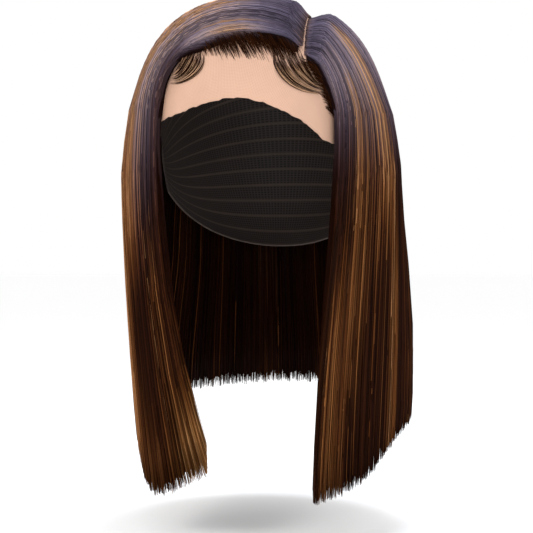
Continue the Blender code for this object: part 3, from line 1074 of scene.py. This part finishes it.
class Sheets:
    """Grids that are shaped over the head and given a wall."""

    @staticmethod
    def pick(made: Object) -> None:
        """Select one object only and make it active.

        Args:
            made: The object.
        """
        bpy.ops.object.select_all(action="DESELECT")
        made.select_set(True)
        bpy.context.view_layer.objects.active = made

    @staticmethod
    def grid(name: str, columns: int, rows: int, points: Array) -> Object:
        """Add a flat grid and move its corners to a table of points.

        Args:
            name: Name of the object.
            columns: Cells across.
            rows: Cells along.
            points: Where each corner goes, as columns + 1 by rows + 1 by 3.

        Returns:
            The shaped grid, with its map named fibre.
        """
        bpy.ops.object.select_all(action="DESELECT")
        bpy.ops.mesh.primitive_grid_add(x_subdivisions=columns, y_subdivisions=rows, size=2)
        made = bpy.context.object
        made.name = name
        made.data.name = name
        flat = np.empty(len(made.data.vertices) * 3)
        made.data.vertices.foreach_get("co", flat)
        flat = flat.reshape(-1, 3)
        c = np.round((flat[:, 0] + 1) / 2 * columns).astype(int)
        r = np.round((flat[:, 1] + 1) / 2 * rows).astype(int)
        made.data.vertices.foreach_set("co", points[c, r].ravel())
        made.data.uv_layers[0].name = "fibre"
        made.data.update()
        return made

    @classmethod
    def face_out(cls, made: Object) -> None:
        """Turn all faces to point outwards.

        Args:
            made: The object with the faces.
        """
        cls.pick(made)
        bpy.ops.object.mode_set(mode="EDIT")
        bpy.ops.mesh.select_all(action="SELECT")
        bpy.ops.mesh.normals_make_consistent(inside=False)
        bpy.ops.object.mode_set(mode="OBJECT")

    @classmethod
    def closed(cls, name: str, outer: Array, inner: Array, columns: int, rows: int) -> Object:
        """Join an outer and an inner grid into one closed form.

        Args:
            name: Name of the object.
            outer: Corners of the outer grid.
            inner: Corners of the inner grid.
            columns: Cells across.
            rows: Cells along.

        Returns:
            The closed form.
        """
        top = cls.grid(name, columns, rows, outer)
        under = cls.grid(name + "_under", columns, rows, inner)
        top.select_set(True)
        bpy.context.view_layer.objects.active = top
        bpy.ops.object.join()
        bpy.ops.object.mode_set(mode="EDIT")
        bpy.ops.mesh.select_mode(type="EDGE")
        bpy.ops.mesh.select_all(action="DESELECT")
        bpy.ops.mesh.select_non_manifold()
        bpy.ops.mesh.bridge_edge_loops()
        bpy.ops.object.mode_set(mode="OBJECT")
        cls.face_out(top)
        bpy.ops.object.shade_smooth_by_angle(angle=MASS_CREASE)
        top.name = name
        return top

    @staticmethod
    def declare(made: Object, points: Array) -> None:
        """Do nothing with a sheet of net stretched over the head; no sheet or flat cut is declared.

        Args:
            made: The sheet, not used.
            points: Its corners, as columns by rows by 3, not used.
        """

    @classmethod
    def walled(cls, name: str, points: Array, wall: float, finish: Finish) -> Object:
        """Shape a grid, give it a wall outwards and dress it.

        Args:
            name: Name of the sheet.
            points: Its corners, as columns + 1 by rows + 1 by 3.
            wall: Its thickness.
            finish: Its net.

        Returns:
            The sheet.
        """
        made = cls.grid(name, points.shape[0] - 1, points.shape[1] - 1, points)
        cls.face_out(made)
        cls.pick(made)
        solid = made.modifiers.new("wall", "SOLIDIFY")
        solid.thickness = wall
        solid.offset = 1.0
        bpy.ops.object.modifier_apply(modifier="wall")
        bpy.ops.object.shade_smooth_by_angle(angle=SHEET_CREASE)
        made.data.materials.append(finish)
        LOG.info("%s: %d faces", name, len(made.data.polygons))
        return made


@dataclass
class HairSection:
    """One section of hair: a dark mass under layers of strands."""

    side: Side  # Which section it is
    flow: HairFlow  # How the hair runs
    mass_finish: Finish  # Finish of the mass
    strand_finish: Finish  # Finish of the strands
    span: Span  # First and last guide number
    columns: int = 90  # Cells across the mass
    rows: int = 44  # Cells along the mass
    inset: float = 0.0018  # How far the mass lies under the outer face
    outer_count: int = 1120  # Strands over the outer face
    under_count: int = 480  # Strands just under it
    inner_count: int = 260  # Strands inside the hanging hair
    front_count: int = 560  # Strands of a front edge
    taper: Taper = Taper(0.00095, 0.45, 4, 0.72, 0.93)  # Width of a strand
    front_taper: Taper = Taper(0.00095 * 0.75, 0.35, 4, 0.7, 0.93)  # Width of a front edge's strand
    locks: int = 58  # How many locks the strands of a section gather into
    short: float = 0.0042  # How much shorter the mass is than the strands
    ragged: float = 0.0050  # How much more some columns are
    bed: float = 0.07  # Share of the lock, from the root, over which it rises from its bed
    sunk: float = 0.0019  # How deep the roots lie in the bed
    crept: Span = (0.0002, 0.0021)  # How far roots lie towards the parting
    stray: float = 0.075  # How far a strand's colour strays from its place
    glint_share: float = 0.03  # Share of the strands that are pale, painted glints
    pale: float = 0.40  # How much lighter those painted glints are
    own_width: Span = (0.6, 1.3)  # Narrowest and widest a strand is beside its taper
    own_light: Span = (0.62, 1.25)  # Darkest and lightest it is beside the chart
    own_sheen: Span = (0.55, 1)  # Least and most of the painted crown sheen it takes
    from_root: float = 0.55  # Share of the strands that start at the root
    later: Span = (0.02, 0.5)  # Where the others start
    gather: float = 0.30  # How far strands gather into their lock
    wander: float = 0.011  # How far a strand wanders to the side
    trim: float = 0.0046  # How unevenly the tips are cut
    least_trim: float = 0.0012  # How much is cut off every strand
    margin: float = 0.02  # How far the back mass stops short of its guides
    hollow: float = 0.20  # How hollow the front face is
    random: np.random.Generator = field(default_factory=lambda: np.random.default_rng(SEED))

    def build(self) -> None:
        """Build the mass and its strands."""
        self.mass()
        self.layer("strands", self.outer_count, (0.0, 0.0012), 1.0)
        self.layer("under_strands", self.under_count, (-0.0010, 0.0003), 0.8)
        self.inside()
        if self.side is not Side.BACK:
            self.front()

    def mass(self) -> None:
        """Build the dark mass that the strands lie on."""
        across = np.linspace(0, 1, self.columns + 1)[:, None]
        margin = self.margin if self.side is Side.BACK else 0.0
        place = self.span[0] + margin + (self.span[1] - self.span[0] - 2 * margin) * across
        rows = np.linspace(0, 1, self.rows + 1)[None, :]
        t = 0.01 + (2 * rows + np.zeros_like(place)) * 0.99
        place = place + np.zeros_like(t)
        ragged = self.random.uniform(0, self.ragged, (self.columns + 1, 1))
        drop = self.flow.drop(place) - self.short - ragged
        drop = drop - 0.0020 * Tone.noise(place, 4.3, 0.3)
        outer = self.flow.outer(place, t, drop)
        out = self.flow.outward(outer, t)
        depth = self.flow.depth(place, t)
        top = np.minimum(self.inset, depth * 0.35)
        low = np.maximum(depth - 0.0006, depth * 0.7)
        ripple = 0.0005 * Tone.noise(place, 6.0, 2.0) * smooth(t * 2)
        low = np.where(t < self.bed, np.maximum(low, 0.0023), low)
        top = top + 0.0018 * (1 - smooth(t / self.bed))
        face = outer - out * (top + ripple)[..., None]
        back = outer - out * low[..., None]
        name = f"hair_{self.side.value}_mass"
        made = Sheets.closed(name, face, back, self.columns, self.rows)
        self.dress(made, self.span, 0.7, 0.8)
        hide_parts(f"hair_{self.side.value}")

    def dress(self, made: Object, span: Span, light: float, crown: float) -> None:
        """Give a mass its finish and the same colour chart as the strands.

        Args:
            made: The mass.
            span: Guide numbers of its first and last column.
            light: How light it is beside the strands.
            crown: How much of the painted crown sheen it shows beside them.
        """
        made.data.materials.append(self.mass_finish)
        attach(made, "root")
        mesh = made.data
        uv = np.empty(len(mesh.loops) * 2)
        mesh.uv_layers["fibre"].data.foreach_get("uv", uv)
        uv = uv.reshape(-1, 2)
        corner = np.empty(len(mesh.loops), dtype=np.int32)
        mesh.loops.foreach_get("vertex_index", corner)
        point_uv = np.zeros((len(mesh.vertices), 2))
        point_uv[corner] = uv
        at = span[0] + (span[1] - span[0]) * point_uv[:, 0]
        coloured(mesh, Tone.chart(at, 2 * point_uv[:, 1]) * np.array([light, 1, 0.7, crown]))
        LOG.info("%s: %d faces", made.name, len(mesh.polygons))

    def strands(
        self, label: str, place: Array, t: Array, drop: Array, sink: Array, light: float
    ) -> None:
        """Lay strands along the flow and colour them by the chart.

        Args:
            label: Last part of the piece's name.
            place: Guide number of every point.
            t: Share along the lock of every point.
            drop: Drop of each strand's tip.
            sink: How far every point lies under the outer face.
            light: How light the strands are.
        """
        each = (len(t), 1)
        place = np.clip(place, *self.span)
        outer = self.flow.outer(place, t, drop)
        out = self.flow.outward(outer, t)
        paths = outer - out * sink[..., None]
        side = np.clip(GUIDES.read("side", place), -1, 1)
        from_part = stacked(side, np.sqrt(1 - side * side), 0)
        grown = (1 - smooth(t / self.bed))[..., None]
        creep = self.random.uniform(*self.crept, (len(t), 1, 1))
        paths = paths - (out * self.sunk + from_part * creep) * grown
        along = (t - t[:, :1]) / (t[:, -1:] - t[:, :1])
        widths = self.taper.at(along) * self.random.uniform(*self.own_width, each)
        values = Tone.chart(place[:, :1] + self.random.normal(0, self.stray, each), t)
        own = self.random.uniform(*self.own_light, each)
        # Painted glints: a few strands are made lighter, less so where the painted crown sheen is
        # strong
        pale = (self.random.uniform(0, 1, each) < self.glint_share) * self.pale
        pale = pale * (1 - 0.80 * values[..., 3])
        values[..., 0] = np.clip(values[..., 0] * light * own + pale, 0, 1)
        values[..., 2] = self.random.uniform(0, 1, each)
        values[..., 3] *= self.random.uniform(*self.own_sheen, each)
        name = f"hair_{self.side.value}_{label}"
        StrandField(name, paths, out, widths, values, self.strand_finish).build()

    def sample(self, count: int) -> tuple[Array, Array, Array]:
        """Choose strands across the section, gathered into locks towards their tips.

        Args:
            count: How many strands.

        Returns:
            Their guide numbers and shares along the lock at every point, and their drops.
        """
        low, high = self.span
        at = low + (high - low) * (np.arange(count) + self.random.uniform(0, 1, count)) / count
        along = STRAND_KNOTS[None, :] / 2
        along = along + self.random.uniform(-0.10, 0.10, (count, 1)) * along * (1 - along)
        rooted = self.random.uniform(0, 1, count) < self.from_root
        start = np.where(rooted, 0.0, self.random.uniform(*self.later, count))[:, None]
        t = start + (2 - start) * along
        lock = (high - low) / self.locks
        centre = (np.floor(at / lock) + 0.5) * lock
        pull = self.gather * self.random.uniform(-0.2, 1, count)
        waves = along * self.random.uniform(3, 8, (count, 1)) + at[:, None] * 40
        place = at[:, None] + (centre - at)[:, None] * pull[:, None] * along**2
        place = place + self.wander * np.sin(waves) * smooth(t - 0.4)
        drop = self.flow.drop(at)
        ragged = 0.002 * Tone.noise(np.floor(at / lock) * 1.7, 0.37, 1.0)
        trim = np.abs(self.random.normal(0, self.trim, count)) + self.least_trim + ragged
        return place, t, (drop - trim)[:, None]

    def layer(self, label: str, count: int, lift: Span, light: float) -> None:
        """Lay one layer of strands over the outer face.

        Args:
            label: Last part of the piece's name.
            count: How many strands.
            lift: Lowest and highest lift off the outer face.
            light: How light the strands are.
        """
        place, t, drop = self.sample(count)
        raised = self.random.uniform(*lift, (count, 1))
        root = smooth(t * 6)
        buried = 0.0018 * (1 - smooth((t - t[:, :1]) * 5)) * (t[:, :1] > 0)
        sink = -raised * root + buried
        depth = self.flow.depth(place, t)
        sink = np.minimum(sink, depth * 0.6)
        self.strands(label, place, t, drop, sink, light)

    def inside(self) -> None:
        """Line the inside of the hanging hair with strands."""
        place, t, drop = self.sample(self.inner_count)
        place = place[:, ::2]
        along = STRAND_KNOTS[None, ::2] / 2
        start = 1.05 + self.random.uniform(0, 0.15, (self.inner_count, 1))
        t = start + (2 - start) * along
        depth = self.flow.depth(place, t)
        sink = depth * self.random.uniform(0.9, 1.03, (self.inner_count, 1))
        self.strands("inner_strands", place, t, drop, sink, 0.25)

    def edge(self, share: Array, t: Array, drop: Array) -> tuple[Array, Array]:
        """Follow the hollow front face between the outer edge and its foot.

        Args:
            share: 0 at the outer edge to 1 at the foot.
            t: 0 at the root, 1 at the widest level, 2 at the tip.
            drop: How far the tip lies below the crown seat.

        Returns:
            The points and the directions away from the head there.
        """
        place = np.full_like(t, 0.0 if self.side is Side.LEFT else 12.0)
        edge = self.flow.outer(place, t, drop)
        foot = self.flow.foot(self.side, t, drop)
        points = edge + (foot - edge) * share[..., None]
        out = self.flow.outward(points, t)
        hollow = self.hollow * np.sin(np.pi * np.clip(share, 0, 1)) * (1 - smooth((t - 1) * 8))
        hollow = hollow * np.linalg.norm(foot - edge, axis=-1)
        return points - out * hollow[..., None], out

    def front(self) -> None:
        """Close the front edge with a face darkened as painted shade and lay strands over it,
        darkened as painted shade deeper in the hollow.
        """
        columns, rows = 10, self.rows
        place = 0.0 if self.side is Side.LEFT else 12.0
        share = np.linspace(0, 1, columns + 1)[:, None] + np.zeros((1, rows + 1))
        t = 0.01 + 1.98 * np.linspace(0, 1, rows + 1)[None, :] + np.zeros_like(share)
        share = share * (0.58 + 0.37 * smooth((t - 0.62) / 0.25))
        tip = self.flow.drop(np.array(place))
        face, out = self.edge(share, t, tip - 0.008)
        name = f"hair_{self.side.value}_front"
        made = Sheets.closed(name, face - out * 0.0009, face - out * 0.0018, columns, rows)
        # Painted shade: the front face is far darker and almost without crown sheen, for the shadow
        # under the front edge
        self.dress(made, (place, place), 0.15, 0.1)
        count = self.front_count
        along = STRAND_KNOTS[None, :] / 2
        rank = self.random.uniform(0, 1, (count, 1))
        start = 0.80 * self.random.uniform(0, 1, (count, 1)) ** 1.3
        t = start + (2 - start) * along
        drop = tip - np.abs(self.random.normal(0, 0.007, (count, 1))) - 0.003
        gather = smooth((t - start) / 0.16)
        spread = 0.20 + 0.80 * smooth((t - 0.95) / 0.30)
        share = rank * spread * gather + (1 - gather) * (0.42 + 0.12 * rank)
        share = np.where(start < 0.12, rank * spread, share)
        points, out = self.edge(share, t, drop + np.zeros_like(t))
        lift = self.random.uniform(-0.0002, 0.0009, (count, 1)) * smooth((t - start) * 6)
        points = points + out * lift[..., None]
        widths = self.front_taper.at(along) + np.zeros_like(t)
        inwards = 0.30 if self.side is Side.LEFT else -0.14
        values = Tone.chart(place + inwards * smooth(share * 2), t)
        # Painted shade: strands deeper in the hollow under the front edge are darker and lose the
        # crown sheen, except towards the tips
        dark = 1 - 0.92 * smooth((share - 0.10) * 3) * (1 - smooth((t - 1.55) / 0.3))
        own = self.random.uniform(0.6, 1.2, (count, 1))
        values[..., 0] = np.clip(values[..., 0] * dark * own, 0, 1)
        values[..., 2] = self.random.uniform(0, 1, (count, 1))
        values[..., 3] *= 1 - smooth((share - 0.10) * 3)
        StrandField(name + "_strands", points, out, widths, values, self.strand_finish).build()


@dataclass
class ScalpHair:
    """Short dark hair that lies on the lace."""

    flow: HairFlow  # How the hair runs
    finish: Finish  # Finish of the hairs

    def lay(
        self, name: str, curve: Array, lift: Array, widths: Array, values: tuple[Array, ...]
    ) -> Object:
        """Build hairs along curves, lifted off the scalp.

        Args:
            name: Name of the piece.
            curve: Points of the hairs on the scalp.
            lift: How far each is lifted.
            widths: Widths there.
            values: Lightness, warmth, shade and share of painted crown sheen there.

        Returns:
            The piece.
        """
        middle = self.flow.head.middle()
        paths = self.flow.head.dome(curve - middle, lift)
        out = unit(paths - middle)
        return StrandField(name, paths, out, widths, stacked(*values), self.finish).build()


@dataclass
class Hairline(ScalpHair):
    """The hairs that grow from the lace along the front of the hair."""

    lace_lift: float = 0.0011  # How far the roots are lifted off the scalp
    points: int = 7  # Points of a hair
    taper: Taper = Taper(0.00034, 0.45, 3, 0.85, 0.5)  # Width of a hair
    right_count: int = 1500  # Hairs on the wearer's right
    left_count: int = 600  # Hairs on the wearer's left
    lightness: Span = (0.0, 0.45)  # Lowest and highest lightness
    warmth: float = 0.4  # How warm the hairs are
    right_span: Span = (0.0, 0.86)  # Where along the hairline they grow on the right
    left_span: Span = (0.0, 0.8)  # And on the left
    band: float = 0.0150  # How deep the band of roots is on the right
    band_top: float = 0.0092  # How far its upper rim lies under the hair
    right_reach: Span = (0.007, 0.015)  # Shortest and longest reach on the right
    left_reach: Span = (0.004, 0.011)  # And on the left
    right_rise: Span = (0.0010, 0.0045)  # Least and most that tips stand off on the right
    left_rise: Span = (0.0008, 0.0030)  # And on the left
    random: np.random.Generator = field(default_factory=lambda: np.random.default_rng(SEED + 1))

    def build(self) -> None:
        """Build both sides."""
        self.right()
        self.left()

    def bend(self, name: str, root: Array, bend: Array, tip: Array, rise: Array) -> None:
        """Build hairs that bend from root to tip.

        Args:
            name: Name of the piece.
            root: Angle and drop of each root.
            bend: Angle and drop of each bend.
            tip: Angle and drop of each tip.
            rise: How far each tip stands off the lace.
        """
        count = len(root)
        light = self.random.uniform(*self.lightness, (count, 1))
        along = np.linspace(0, 1, self.points)[None, :] + np.zeros((count, 1))
        head = self.flow.head
        a, b, d = (head.brow_point(*place.T, 0)[:, None] for place in (root, bend, tip))
        curve = bezier(a, (a + 2 * b) / 3, (2 * b + d) / 3, d, along)
        lift = self.lace_lift + rise[:, None] * smooth(along * 1.2)
        widths = self.taper.at(along) * self.random.uniform(0.7, 1.3, (count, 1))
        shade = self.random.uniform(0, 1, (count, 1))
        values = (light, self.warmth, shade, np.zeros_like(widths))
        self.lay(name, curve, lift, widths, values)

    def right(self) -> None:
        """Grow the hairs that feed the swoop, swept up and to the wearer's right."""
        count = self.right_count
        along = self.random.uniform(*self.right_span, count)
        around, drop = self.flow.hairline(Side.RIGHT, along)
        below = self.band * (1 - np.sqrt(self.random.uniform(0, 1, count))) - self.band_top
        below = below - 0.0005 * np.sin(along * 37)
        root = np.stack([around + self.random.normal(0, 1.2, count), drop + below], -1)
        reach = self.random.uniform(*self.right_reach, count)
        bend = root - np.stack([reach * 170, reach * 0.60], -1)
        tip = root - np.stack([reach * 560, reach * 1.10], -1)
        rise = self.random.uniform(*self.right_rise, count)
        self.bend("hairline_right", root, bend, tip, rise)

    def left(self) -> None:
        """Grow the hairs on the wearer's left, swept back from the temple."""
        count = self.left_count
        along = self.random.uniform(*self.left_span, count)
        around, drop = self.flow.hairline(Side.LEFT, along)
        before = np.abs(self.random.normal(0, 2.2, count)) - 1.0
        root = np.stack([around - before, drop + self.random.normal(0, 0.001, count)], -1)
        reach = self.random.uniform(*self.left_reach, count)
        bend = root + np.stack([reach * 300, reach * 0.1], -1)
        tip = root + np.stack([reach * 640, reach * 0.9], -1)
        rise = self.random.uniform(*self.left_rise, count)
        self.bend("hairline_left", root, bend, tip, rise)


@dataclass
class Swirl(ScalpHair):
    """A fan of baby hair laid on the lace in curved strands."""

    name: str  # Name of the CAD node that it stands for
    table: Table  # Its guide strands
    count: int = 115  # Number of strands
    points: int = 15  # Points of a strand
    clumps: int = 9  # How many clumps they gather into
    pull: float = 0.65  # How far they gather
    root_spread: float = 0.0085  # How far roots lie up the scalp
    base_lift: float = 0.0012  # Least height over the scalp
    loose: float = 0.0013  # How much higher a strand may lie
    taper: Taper = Taper(0.00040, 0.32, 2.5, 0.80, 0.60)  # Width of a strand
    glint_share: float = 0.30  # Share of the strands with a painted glint
    warmth: float = 0.5  # How warm the strands are

    def build(self) -> None:
        """Build the swirl."""
        random = np.random.default_rng(SEED + len(self.name))
        each = (self.count, 1)
        rank = np.sort(random.uniform(0, 2, self.count))
        centre = (np.floor(rank * self.clumps / 2) + 0.5) * 2 / self.clumps
        along = np.linspace(0, 1, self.points)[None, :]
        row = rank[:, None] + (centre - rank)[:, None] * self.pull * smooth(along)
        reach = random.uniform(0.72, 1.03, each)
        knots = []
        for knot in ("root", "bend", "curl", "tip"):
            around = self.table.read(knot + "_at", row)
            drop = self.table.read(knot + "_drop", row) * self.flow.hairline_drop
            if knot == "root":
                drop = drop - random.uniform(0, self.root_spread, each)
            knots.append(self.flow.head.brow_point(around, drop, 0))
        curve = bezier(*knots, along * reach)
        lift = self.base_lift + random.uniform(0, self.loose, each) * smooth(along * 3)
        widths = self.taper.at(along) * random.uniform(0.7, 1.3, each)
        # Painted glints: the shining strands are light and take the painted crown sheen
        shine = random.uniform(0, 1, each) < self.glint_share
        pale = shine * smooth(along * self.taper.growth)
        shade = random.uniform(0, 1, each)
        values = (0.20 + 0.80 * pale, self.warmth, shade, 0.9 * pale)
        piece = self.lay(self.name + "_strands", curve, lift, widths, values)
        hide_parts(self.name)


@dataclass
class LaceFront:
    """The sheer panel from the forehead to the seam."""

    flow: HairFlow  # Gives the head
    finish: Finish  # Its net
    wall: float = 0.0010  # Its thickness
    seam_angle: float = 96.0  # How far back the seam lies, in degrees
    ear_angle: float = 78.0  # How far down the sides it reaches
    temple_angle: float = 70.0  # How far round its lower edge reaches
    drop: float = 0.072  # The unit of the edge's drops
    columns: int = 96  # Cells across
    rows: int = 48  # Cells along

    def seam(self, across: Array) -> Array:
        """Give the directions of the seam from ear to ear."""
        side, back = np.radians(self.ear_angle * across), np.radians(self.seam_angle)
        return stacked(np.sin(side), -np.cos(side) * np.cos(back), np.cos(side) * np.sin(back))

    def build(self) -> None:
        """Build the panel."""
        across = np.linspace(-1, 1, self.columns + 1)[:, None]
        around = across * self.temple_angle
        drop = LACE_EDGE.look_up("around", "drop", around) * self.drop
        trim = 0.0007 * Tone.noise(across * 9, 1.0, 0.0)
        middle = self.flow.head.middle()
        front = self.flow.head.brow_point(around, drop + trim, 0) - middle
        share = np.linspace(0, 1, self.rows + 1)[None, :]
        direction = between(front, self.seam(across), share)
        points = self.flow.head.dome(direction, 0)
        made = Sheets.walled("lace_panel", points, self.wall, self.finish)
        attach(made, "root")
        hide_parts("lace_front")
        Sheets.declare(made, points)


@dataclass
class WigCap:
    """The cap behind the seam, down to the nape."""

    lace: LaceFront  # Gives the seam and the head
    finish: Finish  # Its net
    wall: float = 0.0015  # Its thickness
    gap: float = 0.0005  # Gap at the seam
    nape_drop: float = 0.168  # Depth of its rim at the nape
    ear_drop: float = 0.128  # Depth of its rim behind the ears
    nape_angle: float = 78.0  # How far round its lower rim reaches
    columns: int = 96  # Cells across
    rows: int = 60  # Cells along

    def build(self) -> None:
        """Build the cap."""
        head = self.lace.flow.head
        across = np.linspace(-1, 1, self.columns + 1)[:, None]
        drop = self.nape_drop + (self.ear_drop - self.nape_drop) * across**2
        seam = self.lace.seam(across)
        nape = head.brow_point(180 - across * self.nape_angle, drop, 0) - head.middle()
        turn = np.arccos((unit(seam) * unit(nape)).sum(axis=-1))
        first = self.gap / (turn * head.breadth / 2)
        share = first + (1 - first) * np.linspace(0, 1, self.rows + 1)[None, :]
        points = head.dome(between(seam, nape, share), 0)
        made = Sheets.walled("cap_net", points, self.wall, self.finish)
        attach(made, "root")
        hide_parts("wig_cap")
        Sheets.declare(made, points)


def between(start: Array, end: Array, share: Array) -> Array:
    """Give directions on the shortest turn from one direction to another.

    Args:
        start: The first direction.
        end: The last direction.
        share: How far along the turn.

    Returns:
        The directions.
    """
    start, end = unit(start), unit(end)
    angle = np.arccos(np.clip((start * end).sum(axis=-1), -1, 1))[..., None]
    share = np.asarray(share)[..., None]
    return (np.sin(angle * (1 - share)) * start + np.sin(angle * share) * end) / np.sin(angle)


def main() -> None:
    """Build the studio and every piece of the wig."""
    logging.basicConfig(level=logging.INFO, format="%(name)s: %(message)s", stream=sys.stdout)
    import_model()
    Studio().build()
    flow = HairFlow()
    fibre, net = Group.fibre(), Group.net()
    mass = HairFinish("hair_mass", fibre, gloom=0.75, roughness=0.42, grain=260.0, bump=0.4)
    mass, strand = mass.make(), HairFinish("hair_strands", fibre).make()
    fine = HairFinish("hairline_fibre", fibre, gloom=0.9, roughness=0.40, grain=20.0).make()
    skin, skin_gap = (0.60, 0.37, 0.26), (0.56, 0.34, 0.24)
    lace = NetFinish("lace_net", net, skin, skin_gap, 260, 150, open_share=0.90).make()
    black, black_gap = (0.052, 0.040, 0.035), (0.010, 0.008, 0.007)
    cap = NetFinish("cap_net", net, black, black_gap, 150, 120, open_share=1.0, wefts=18).make()
    lace_front = LaceFront(flow, lace)
    lace_front.build()
    WigCap(lace_front, cap).build()
    for side, span in ((Side.LEFT, (0, 4)), (Side.BACK, (4, 8)), (Side.RIGHT, (8, 12))):
        HairSection(side, flow, mass, strand, span).build()
    Hairline(flow, fine).build()
    Swirl(flow, fine, "baby_hair_right", SWIRL_RIGHT).build()
    Swirl(flow, fine, "baby_hair_left", SWIRL_LEFT, count=150).build()


if __name__ == "__main__":
    main()
